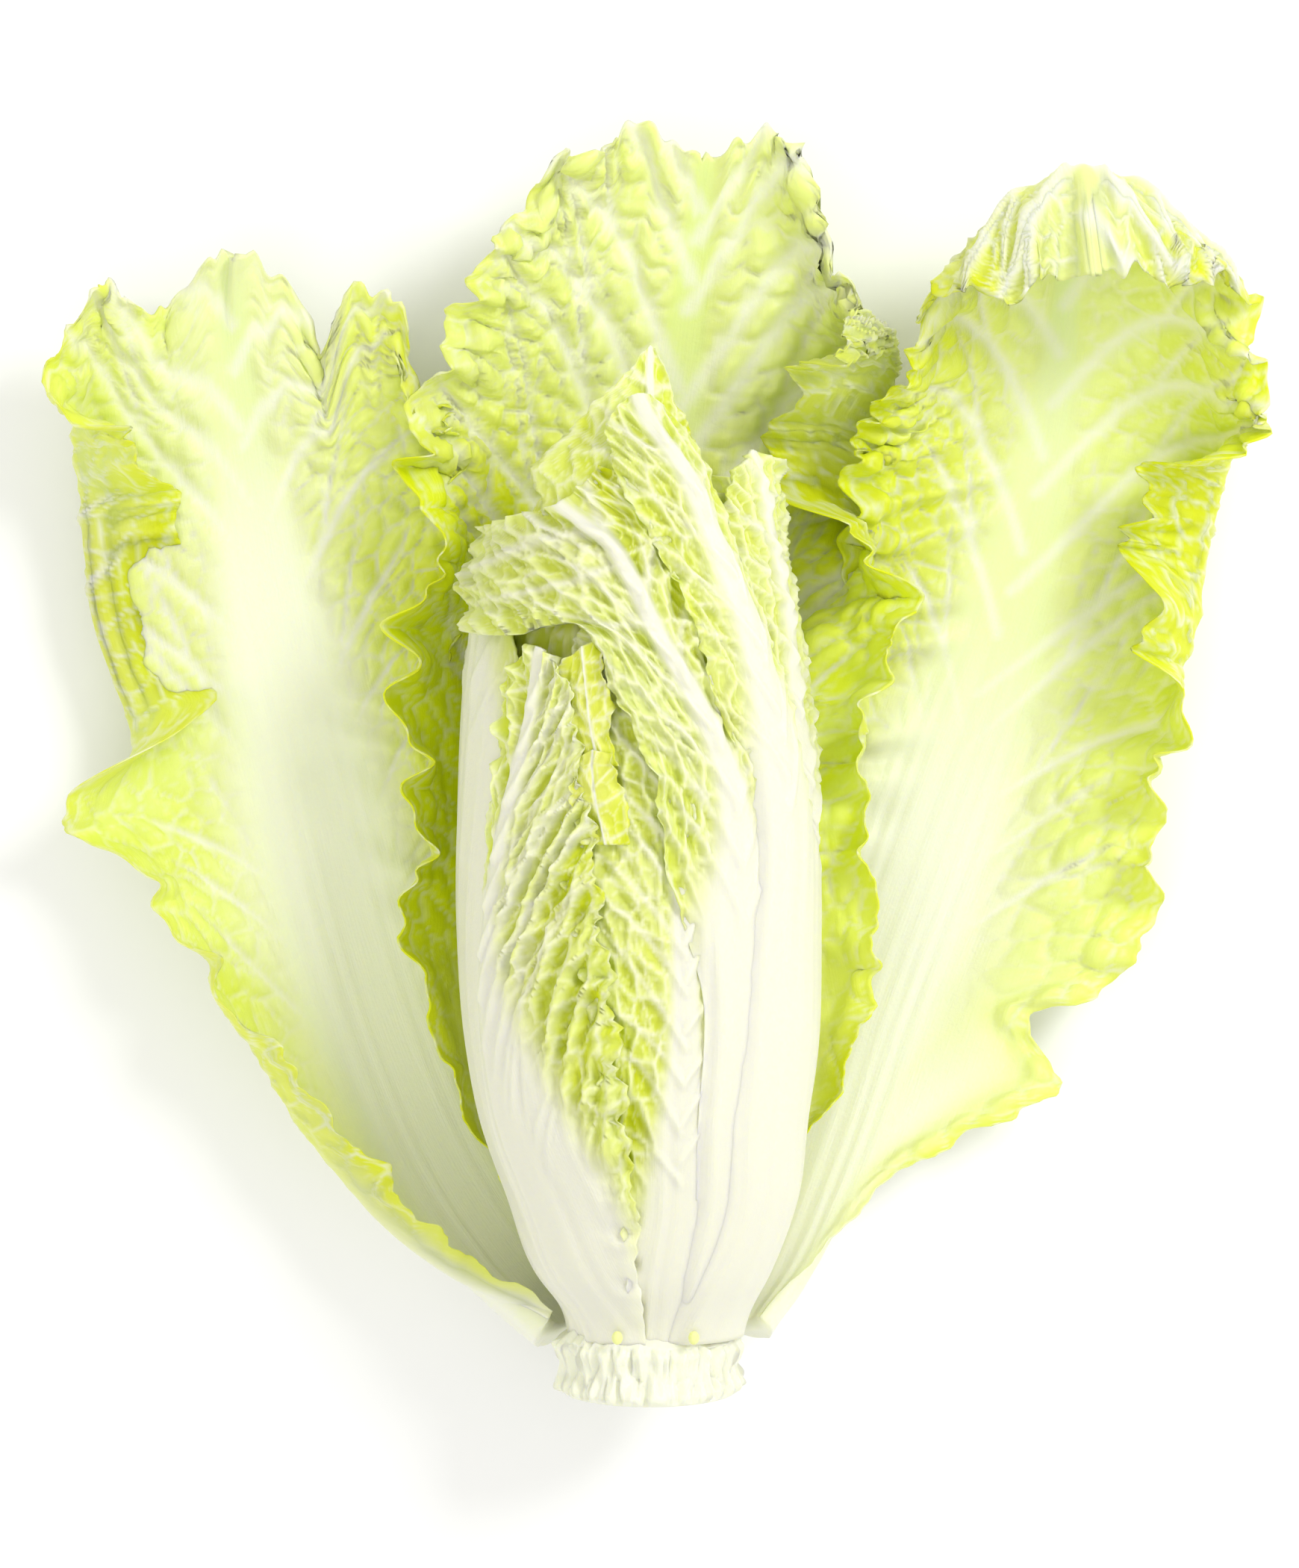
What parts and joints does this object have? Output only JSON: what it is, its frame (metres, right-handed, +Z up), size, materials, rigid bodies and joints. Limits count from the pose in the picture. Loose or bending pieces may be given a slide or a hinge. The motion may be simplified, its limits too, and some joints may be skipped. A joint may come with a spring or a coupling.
{
  "type": "chinese cabbage",
  "caption": "Long head of Chinese cabbage lying on the backs of its opened outer leaves, with a ribbed white heart, ruffled yellow-green blades and a cut stump.",
  "frame": {"origin": "under the middle of the whole cabbage, on the surface that it lies on", "axes": "+Z up from the surface, +Y from the cut stump towards the leaf tips, +X towards the hooded outer leaf"},
  "size_m": [0.306, 0.3206, 0.0946],
  "materials": {
    "stump": "satin",
    "outer_leaf": "satin",
    "heart_leaf": "satin",
    "inner_leaf": "satin",
    "bud": "satin"
  },
  "bodies": {
    "root": {"stump": "stump", "open_leaf_left": "outer_leaf", "open_leaf_centre": "outer_leaf", "open_leaf_right": "outer_leaf", "heart_core": "inner_leaf", "heart_leaf_back": "heart_leaf", "heart_leaf_side": "heart_leaf", "heart_leaf_far_left": "heart_leaf", "heart_leaf_left": "heart_leaf", "heart_leaf_seam": "heart_leaf", "heart_leaf_cap": "heart_leaf", "heart_leaf_right": "heart_leaf", "heart_leaf_tip": "heart_leaf", "inner_tip_upper": "inner_leaf", "inner_tip_lower": "inner_leaf", "bud_left": "bud", "bud_right": "bud"}
  },
  "joints": []
}
